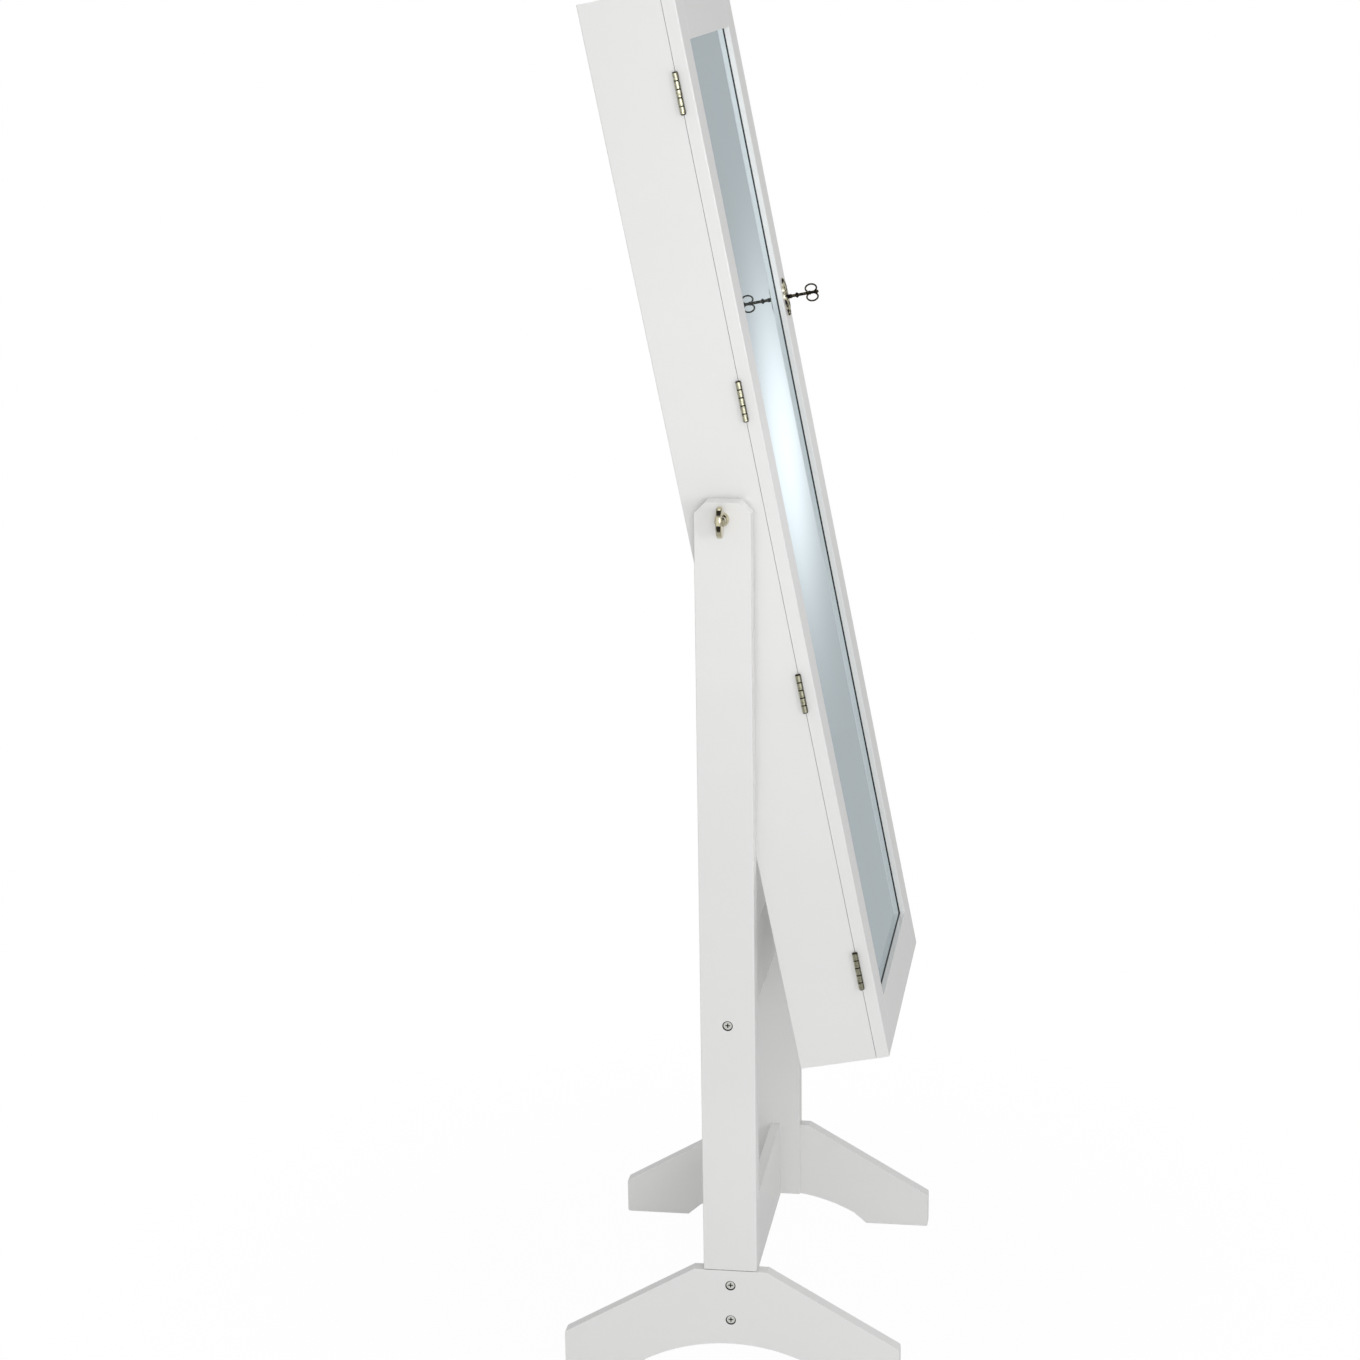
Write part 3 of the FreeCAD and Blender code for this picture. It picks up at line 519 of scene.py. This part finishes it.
def key_plate_relief():
    """Cast relief on the key plate.

    Rings run from an oval round the keyhole to just inside the lobed edge.
    The height is the greater of two raised rims and of petals that follow
    the lobes. It fades out towards both edges, and is pressed flat round the
    two nails.
    """
    turn = np.linspace(0, 2 * np.pi, relief_columns, endpoint=False)[None, :]
    part = np.linspace(0, 1, relief_rows)[:, None]
    swell = 1 - escutcheon_lobe_depth * (1 + np.cos(escutcheon_lobes * turn)) / 2
    outer_x = (escutcheon_width / 2 * swell - relief_inset) * np.cos(turn)
    outer_z = (escutcheon_height / 2 * swell - relief_inset) * np.sin(turn)
    inner_x = (keyhole_radius + keyhole_margin) * np.cos(turn)
    inner_z = (keyhole_half_height + keyhole_margin) * np.sin(turn) - keyhole_fall
    x = inner_x + (outer_x - inner_x) * part
    z = inner_z + (outer_z - inner_z) * part
    rims = (outer_rim_height * np.exp(-((part - outer_rim) / rim_width) ** 2)
            + inner_rim_height * np.exp(-((part - inner_rim) / rim_width) ** 2))
    petals = petal_height * np.sin(np.pi * part) * (1 + np.cos(2 * escutcheon_lobes * turn)) / 2
    edge = np.clip(np.minimum(part, 1 - part) / edge_fade, 0, 1)
    lift = relief_height * edge * np.maximum(rims, petals)
    for sign in (-1, 1):
        away = np.hypot(x, z - sign * nail_rise)
        lift *= np.clip((away - nail_head_radius) / nail_fade, 0, 1)
    depth = door_front + escutcheon_thickness + relief_lift + lift
    points = in_cabinet(np.stack([key_x + x, depth, lock_height + z], axis=-1))
    faces = grid_faces(relief_rows, relief_columns, wrap_columns=True)
    piece = make_piece("key_plate_relief", points, faces)
    outwards(piece)
    return finished(piece, "door", "plate_brass")


rim_cover = 0.04             # inside the countersink's wall
rim_rows = 3
rim_columns = 40


def countersink_shade_rims():
    """Painted shade on the walls of the six countersinks round the sunk screw heads.

    Each is a cone: its radius falls with depth, from the board's face down
    to the head, a hair inside the wall that it covers.
    """
    turn = np.linspace(0, 2 * np.pi, rim_columns, endpoint=False)[None, :]
    part = np.linspace(0, 1, rim_rows)[:, None]
    radius = screw_head_radius + (1 - part) * screw_sink - rim_cover
    cones = []
    for side in (-1, 1):
        for height in screw_heights:
            x = side * (post_outer - rim_cover - part * screw_sink) + 0 * turn
            points = np.stack([x, radius * np.cos(turn), height + radius * np.sin(turn)], axis=-1)
            cones.append((points * MM, grid_faces(rim_rows, rim_columns, wrap_columns=True)))
    piece = make_piece("countersink_shade_rims", *joined(cones))
    return finished(piece, "stand", "recess_painted_shade")


joint_line_inset = 0.6


def joint_shade_lines():
    """Painted shade in the joint under each post's shoulder: a dark upright strip in the gap."""
    strips = []
    for side in (-1, 1):
        x = side * (post_outer - joint_line_inset)
        half = post_width / 2 - joint_line_inset
        low = foot_crown
        high = foot_crown + shoulder_gap
        points = np.array([(x, -half, low), (x, half, low), (x, half, high), (x, -half, high)])
        strips.append((points * MM, [[0, 1, 2, 3]]))
    piece = make_piece("joint_shade_lines", *joined(strips), smooth=False)
    return finished(piece, "stand", "recess_painted_shade")


cross_inset = 0.05           # inside the recess's walls
cross_sink = 0.3             # below the head's face


def screw_cross_shades():
    """Painted shade at the bottom of each cross recess: a dark four-armed outline just below the
    head's face.
    """
    arm = screw_recess - cross_inset
    thin = screw_recess / 4 - cross_inset
    outline = [(arm, -thin), (arm, thin), (thin, thin), (thin, arm), (-thin, arm), (-thin, thin),
               (-arm, thin), (-arm, -thin), (-thin, -thin), (-thin, -arm), (thin, -arm),
               (thin, -thin)]
    crosses = []
    for side in (-1, 1):
        for height in screw_heights:
            x = side * (post_outer - screw_sink - cross_sink)
            points = [(x, across, height + up) for across, up in outline]
            crosses.append((np.array(points) * MM, [list(range(len(outline)))]))
    piece = make_piece("screw_cross_shades", *joined(crosses), smooth=False)
    return finished(piece, "stand", "cross_recess_shade")


leaf_screw_radius = 2.3
leaf_screw_inset = 6.6       # from the case's side to the first and last screw
leaf_screw_stagger = 1.4     # the middle screw stands this much further in
leaf_screw_spread = 0.36     # of the hinge's length, from the middle to the others
leaf_screw_rings = [0.02, 0.25, 0.55, 0.8, 0.97, 1.0]
leaf_screw_points = 24
leaf_screw_rise = 0.06
leaf_screw_edge_fall = 0.05
leaf_cross_depth = 0.04
leaf_cross_width = 0.35      # as the sine of twice the turn
leaf_cross_reach = 0.6       # of the head's radius


def leaf_screw(x, depth, height, way):
    """Countersunk head seen in a hinge leaf: a shallow dish with a cross pressed in.

    Turned from rings; the cross is where the angle is near a quarter turn
    and the radius is small, and it lies deeper.
    """
    turn = np.linspace(0, 2 * np.pi, leaf_screw_points, endpoint=False)[None, :]
    part = np.array(leaf_screw_rings)[:, None]
    radius = part * leaf_screw_radius
    cross = (np.abs(np.sin(2 * turn)) < leaf_cross_width) & (part < leaf_cross_reach)
    rise = leaf_screw_rise - leaf_cross_depth * cross - leaf_screw_edge_fall * (part == 1)
    points = np.stack([x + radius * np.cos(turn) * way, depth + way * rise,
                       height + radius * np.sin(turn)], axis=-1)
    faces = grid_faces(len(part), leaf_screw_points, wrap_columns=True)
    faces.append(list(range(leaf_screw_points))[::-1])
    return in_cabinet(points), faces


def hinge_screws(name, body, depth, way):
    """Three screws in each of the four leaves on one side of the seam."""
    heads = []
    for middle in hinge_middles:
        for step in (-1, 0, 1):
            x = -half_width + leaf_screw_inset + leaf_screw_stagger * (step == 0)
            height = middle + step * hinge_length * leaf_screw_spread
            heads.append(leaf_screw(x, depth, height, way))
    piece = make_piece(name, *joined(heads))
    return finished(piece, body, "hinge_brass")


roll_columns = 28            # points round the bar
roll_rows = 90               # rings along it
roll_start_share = 0.8       # of the room for a roll, before it is stuffed
roll_corner_power = 0.8      # under 1, so that the oval is squarish
roll_end_power = 40          # the higher, the shorter the drawn-in ends
roll_end_share = 0.2         # of the bar's size, at its very ends
roll_end_room = 2.0


def roll_start():
    """A ring roll before it is stuffed: a rounded bar with drawn-in ends.

    Round the bar the section is a squarish oval; along it, the size falls
    to a fifth over the last few millimetres at each end.
    """
    pitch = ring_tray_height / ring_roll_count
    turn = np.linspace(0, 2 * np.pi, roll_columns, endpoint=False)[None, :]
    along = np.sin(np.linspace(-np.pi / 2, np.pi / 2, roll_rows))[:, None]
    taper = 1 - (1 - roll_end_share) * np.abs(along) ** roll_end_power
    cos = np.sign(np.cos(turn)) * np.abs(np.cos(turn)) ** roll_corner_power
    sin = np.sign(np.sin(turn)) * np.abs(np.sin(turn)) ** roll_corner_power
    x = along * (inner_half - roll_end_room) + 0 * turn
    y = ring_roll_depth / 2 * (1 + roll_start_share * cos * taper)
    z = pitch / 2 * roll_start_share * sin * taper
    points = np.stack([x, y, z], axis=-1)
    first = list(range(roll_columns))[::-1]
    last = [(roll_rows - 1) * roll_columns + index for index in range(roll_columns)]
    return points, grid_faces(roll_rows, roll_columns, wrap_columns=True) + [first, last]


skin_size = 2.4              # side of a face of the remeshed skin
stuffing_pressure = 4.0
stuffing_quality = 4
stuffing_frames = 20
stuffing_reach = 1.6         # no point is blown out further than this


def stuffed(points, faces):
    """The bar's skin, remeshed and blown up by cloth pressure, as an array of points and faces."""
    bar = make_piece("roll_skin", points * MM, faces)
    remesh = bar.modifiers.new("even", "REMESH")
    remesh.mode = "VOXEL"
    remesh.voxel_size = skin_size * MM
    bpy.context.view_layer.objects.active = bar
    bar.select_set(True)
    bpy.ops.object.modifier_apply(modifier="even")
    before = corners(bar.data)
    cloth = bar.modifiers.new("stuffing", "CLOTH")
    cloth.settings.use_pressure = True
    cloth.settings.uniform_pressure_force = stuffing_pressure
    cloth.settings.quality = stuffing_quality
    cloth.settings.effector_weights.gravity = 0.0
    for step in range(stuffing_frames):
        bpy.context.scene.frame_set(step + 1)
    bpy.ops.object.modifier_apply(modifier="stuffing")
    moved = corners(bar.data) - before
    far = np.maximum(np.linalg.norm(moved, axis=1, keepdims=True), 1e-9)
    after = before + moved * np.minimum(far, stuffing_reach * MM) / far
    skin = [list(face.vertices) for face in bar.data.polygons]
    bpy.data.objects.remove(bar)
    bpy.context.scene.frame_set(1)
    return after / MM, skin


def corners(mesh):
    """The places of a mesh's points, as an array."""
    flat = np.zeros(len(mesh.vertices) * 3)
    mesh.vertices.foreach_get("co", flat)
    return flat.reshape(-1, 3)


def fitted(points, lows, highs):
    """Points squeezed or stretched to fill a space exactly."""
    low = points.min(axis=0)
    span = points.max(axis=0) - low
    return np.asarray(lows) + (points - low) / span * (np.asarray(highs) - np.asarray(lows))


roll_side_room = 0.5         # beside the rolls
roll_between_room = 0.35     # above and below each
roll_front_room = 0.2


def ring_rolls():
    """Seven padded velvet rolls, one stuffed shape set side by side up the board."""
    points, faces = roll_start()
    points, faces = stuffed(points, faces)
    pitch = ring_tray_height / ring_roll_count
    reach = inner_half - roll_side_room
    half = pitch / 2 - roll_between_room
    points = fitted(points.reshape(-1, 3), (-reach, 0, -half),
                    (reach, ring_roll_depth - roll_front_room, half))
    rolls = []
    for index in range(ring_roll_count):
        rise = ring_ledge_height + (index + 0.5) * pitch
        rolls.append((in_cabinet(points + (0, ring_board_front, rise)), faces))
    piece = make_piece("velvet_ring_rolls", *joined(rolls))
    outwards(piece)
    finished(piece, "cabinet", "black_velvet")
    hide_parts("ring_rolls")
    return piece


def outwards(piece):
    """Turn all faces of a piece's shells outwards."""
    shell = bmesh.new()
    shell.from_mesh(piece.data)
    bmesh.ops.recalc_face_normals(shell, faces=shell.faces)
    shell.to_mesh(piece.data)
    shell.free()


mirror_edge_shade_line()
countersink_shade_rims()
joint_shade_lines()
screw_cross_shades()
key_plate_relief()
hinge_screws("case_leaf_screws", "cabinet", case_leaf_front, 1)
hinge_screws("door_leaf_screws", "door", door_leaf_back, -1)
ring_rolls()


# ---- camera --------------------------------------------------------------------

picture_side = 1360.0
camera_place = (-3187.66, -451.99, 1670.91)
camera_turn = math.radians(7.0641)
camera_down = math.radians(16.0122)
camera_roll = math.radians(-0.1906)
camera_reach = 2865.33       # focal length in pixels
camera_middle = (800.0, 710.0)
sensor_width = 36.0
clip_end = 100.0


def photo_camera():
    """Camera at the photograph's place, from its turn, its downward tilt and its roll."""
    ahead = Vector((math.cos(camera_down) * math.cos(camera_turn),
                    math.cos(camera_down) * math.sin(camera_turn), -math.sin(camera_down)))
    level = ahead.cross(Vector((0, 0, 1))).normalized()
    upright = level.cross(ahead)
    right = level * math.cos(camera_roll) + upright * math.sin(camera_roll)
    up = upright * math.cos(camera_roll) - level * math.sin(camera_roll)
    data = bpy.data.cameras.new("photo_camera")
    data.sensor_fit = "HORIZONTAL"
    data.sensor_width = sensor_width
    data.lens = camera_reach / picture_side * sensor_width
    data.shift_x = (picture_side / 2 - camera_middle[0]) / picture_side
    data.shift_y = (camera_middle[1] - picture_side / 2) / picture_side
    data.clip_end = clip_end
    camera = bpy.data.objects.new("photo_camera", data)
    axes = Matrix((right, up, -ahead)).transposed().to_4x4()
    axes.translation = Vector(camera_place) * MM
    camera.matrix_world = axes
    bpy.context.scene.collection.objects.link(camera)
    bpy.context.scene.camera = camera


# ---- room ------------------------------------------------------------------------

ambient_strength = 0.54
backdrop_strength = 1.0
room_low = 0.55              # the walls and the floor, as metal and glass see them
room_high = 0.04             # the ceiling, above the lamps
room_bright = 1.0            # the wall behind the camera
bright_start = 0.5           # how far a ray heads there when that wall begins to show
bright_full = 0.8
ceiling_start = 0.35         # how far a ray rises when the ceiling begins to show
ceiling_full = 0.6

glow_strength = 0.92
glow_elevation = math.radians(-7.23)
glow_heading = math.radians(-10.86)
glow_tall = math.radians(2.9)
glow_wide = math.radians(0.46)
glow_slant = 0.26
glow_front = 0.5             # keeps the bell to its own side of the room


def mixed(tree, factor, first, second):
    """A number between two others: the first, and the factor's share of their difference."""
    span = node(tree, "ShaderNodeMath", {"operation": "SUBTRACT", 0: second, 1: first})
    return node(tree, "ShaderNodeMath", {
        "operation": "MULTIPLY_ADD", 0: factor, 1: span, 2: first})


def room_strength(tree, height, walls):
    """White for the camera; metal and glass see the walls under a dark ceiling."""
    glossy = node(tree, "ShaderNodeLightPath", {}, "Is Glossy Ray")
    dark = node(tree, "ShaderNodeMapRange", {
        "Value": height, "From Min": ceiling_start, "From Max": ceiling_full})
    room = mixed(tree, dark, walls, room_high)
    return mixed(tree, glossy, backdrop_strength, room)


def seen_rays(tree):
    """1 for rays from the camera, off metal or through glass, and 0 for the rest."""
    seen = 0.0
    for kind in ("Is Camera Ray", "Is Glossy Ray", "Is Transmission Ray"):
        ray = node(tree, "ShaderNodeLightPath", {}, kind)
        seen = node(tree, "ShaderNodeMath", {"operation": "MAXIMUM", 0: ray, 1: seen})
    return seen


def softbox_glow(tree, direction):
    """Glow of a tall softbox in the backdrop: a bell in two slanted directions across it."""
    level = math.cos(glow_elevation)
    middle = Vector((math.cos(glow_heading) * level, math.sin(glow_heading) * level,
                     math.sin(glow_elevation)))
    across = Vector((-math.sin(glow_heading), math.cos(glow_heading), 0))
    upward = middle.cross(across)
    total = 0.0
    for axis in (upward / glow_tall, (across * level - upward * glow_slant) / glow_wide):
        away = node(tree, "ShaderNodeVectorMath", {
            "operation": "DOT_PRODUCT", 0: direction, 1: axis}, "Value")
        total = node(tree, "ShaderNodeMath", {
            "operation": "MULTIPLY_ADD", 0: away, 1: away, 2: total})
    bell = node(tree, "ShaderNodeMath", {"operation": "POWER", 0: math.exp(-1), 1: total})
    ahead = node(tree, "ShaderNodeVectorMath", {
        "operation": "DOT_PRODUCT", 0: direction, 1: middle}, "Value")
    front = node(tree, "ShaderNodeMath", {
        "operation": "GREATER_THAN", 0: ahead, 1: glow_front})
    return node(tree, "ShaderNodeMath", {"operation": "MULTIPLY", 0: bell, 1: front})


def make_world():
    """Plain white studio; metal and glass also see a softbox's glow in it."""
    world = bpy.data.worlds.new("studio")
    bpy.context.scene.world = world
    tree = cleared(world)
    direction = node(tree, "ShaderNodeTexCoord", {}, "Generated")
    glossy = node(tree, "ShaderNodeLightPath", {}, "Is Glossy Ray")
    glow = node(tree, "ShaderNodeMath", {
        "operation": "MULTIPLY", 0: softbox_glow(tree, direction), 1: glossy})
    behind = node(tree, "ShaderNodeVectorMath", {
        "operation": "DOT_PRODUCT", 0: direction, 1: (-1, 0, 0)}, "Value")
    walls = node(tree, "ShaderNodeMapRange", {
        "Value": behind, "From Min": bright_start, "From Max": bright_full,
        "To Min": room_low, "To Max": room_bright})
    height = node(tree, "ShaderNodeVectorMath", {
        "operation": "DOT_PRODUCT", 0: direction, 1: (0, 0, 1)}, "Value")
    strength = node(tree, "ShaderNodeMath", {
        "operation": "MULTIPLY_ADD", 0: glow, 1: glow_strength,
        2: room_strength(tree, height, walls)})
    soft = node(tree, "ShaderNodeBackground", {
        "Color": linear("#FFFFFF"), "Strength": ambient_strength})
    seen = node(tree, "ShaderNodeBackground", {
        "Color": linear("#FFFFFF"), "Strength": strength})
    both = node(tree, "ShaderNodeMixShader", {0: seen_rays(tree), 1: soft, 2: seen})
    node(tree, "ShaderNodeOutputWorld", {"Surface": both}, None)


floor_radius = 3.2
floor_corners = 96
shadow_floor_near = 0.35
shadow_floor_far = 0.9
shadow_floor_white = 0.97
unlit_near = 0.7             # towards the camera the floor turns dark, seen in metal and glass
unlit_far = 1.3


def make_floor():
    """Round pale floor: it takes the shadow near the feet and fades to the backdrop's white."""
    turn = np.linspace(0, 2 * np.pi, floor_corners, endpoint=False)
    edge = np.stack([np.cos(turn), np.sin(turn), 0 * turn], axis=-1) * floor_radius
    floor = make_piece("floor", edge, [list(range(floor_corners))], smooth=False)
    material = bpy.data.materials.new("pale_floor")
    tree = cleared(material)
    place = node(tree, "ShaderNodeTexCoord", {}, "Object")
    before = node(tree, "ShaderNodeVectorMath", {
        "operation": "DOT_PRODUCT", 0: place, 1: (-1, 0, 0)}, "Value")
    unlit = node(tree, "ShaderNodeMapRange", {
        "Value": before, "From Min": unlit_near, "From Max": unlit_far})
    far = node(tree, "ShaderNodeVectorMath", {"operation": "LENGTH", 0: place}, "Value")
    fade = node(tree, "ShaderNodeMapRange", {
        "Value": far, "From Min": shadow_floor_near, "From Max": shadow_floor_far,
        "To Min": shadow_floor_white})
    seen = node(tree, "ShaderNodeMath", {"operation": "MULTIPLY", 0: fade, 1: seen_rays(tree)})
    matt = node(tree, "ShaderNodeBsdfDiffuse", {"Color": linear("#F0F0F0")})
    white = node(tree, "ShaderNodeEmission", {
        "Color": linear("#FFFFFF"), "Strength": room_strength(tree, unlit, room_low)})
    both = node(tree, "ShaderNodeMixShader", {0: seen, 1: matt, 2: white})
    node(tree, "ShaderNodeOutputMaterial", {"Surface": both}, None)
    floor.data.materials.append(material)


def lamp(name, place, aim, size, watts):
    """Square softbox that looks from its place towards its aim."""
    data = bpy.data.lights.new(name, "AREA")
    data.shape = "SQUARE"
    data.size = size
    data.energy = watts
    light = bpy.data.objects.new(name, data)
    light.location = place
    light.rotation_euler = (Vector(aim) - Vector(place)).to_track_quat("-Z", "Y").to_euler()
    bpy.context.scene.collection.objects.link(light)


photo_camera()
make_world()
make_floor()
lamp("key_softbox", place=(-2.4, -2.4, 1.4), aim=(0, 0, 0.8), size=1.0, watts=14.0)
lamp("side_softbox", place=(-2.2, -0.35, 1.35), aim=(0, 0, 0.8), size=0.7, watts=11.5)
lamp("top_softbox", place=(0, -0.3, 3.3), aim=(0, -0.3, 0), size=1.5, watts=9.0)
bpy.context.scene.view_settings.view_transform = "Standard"
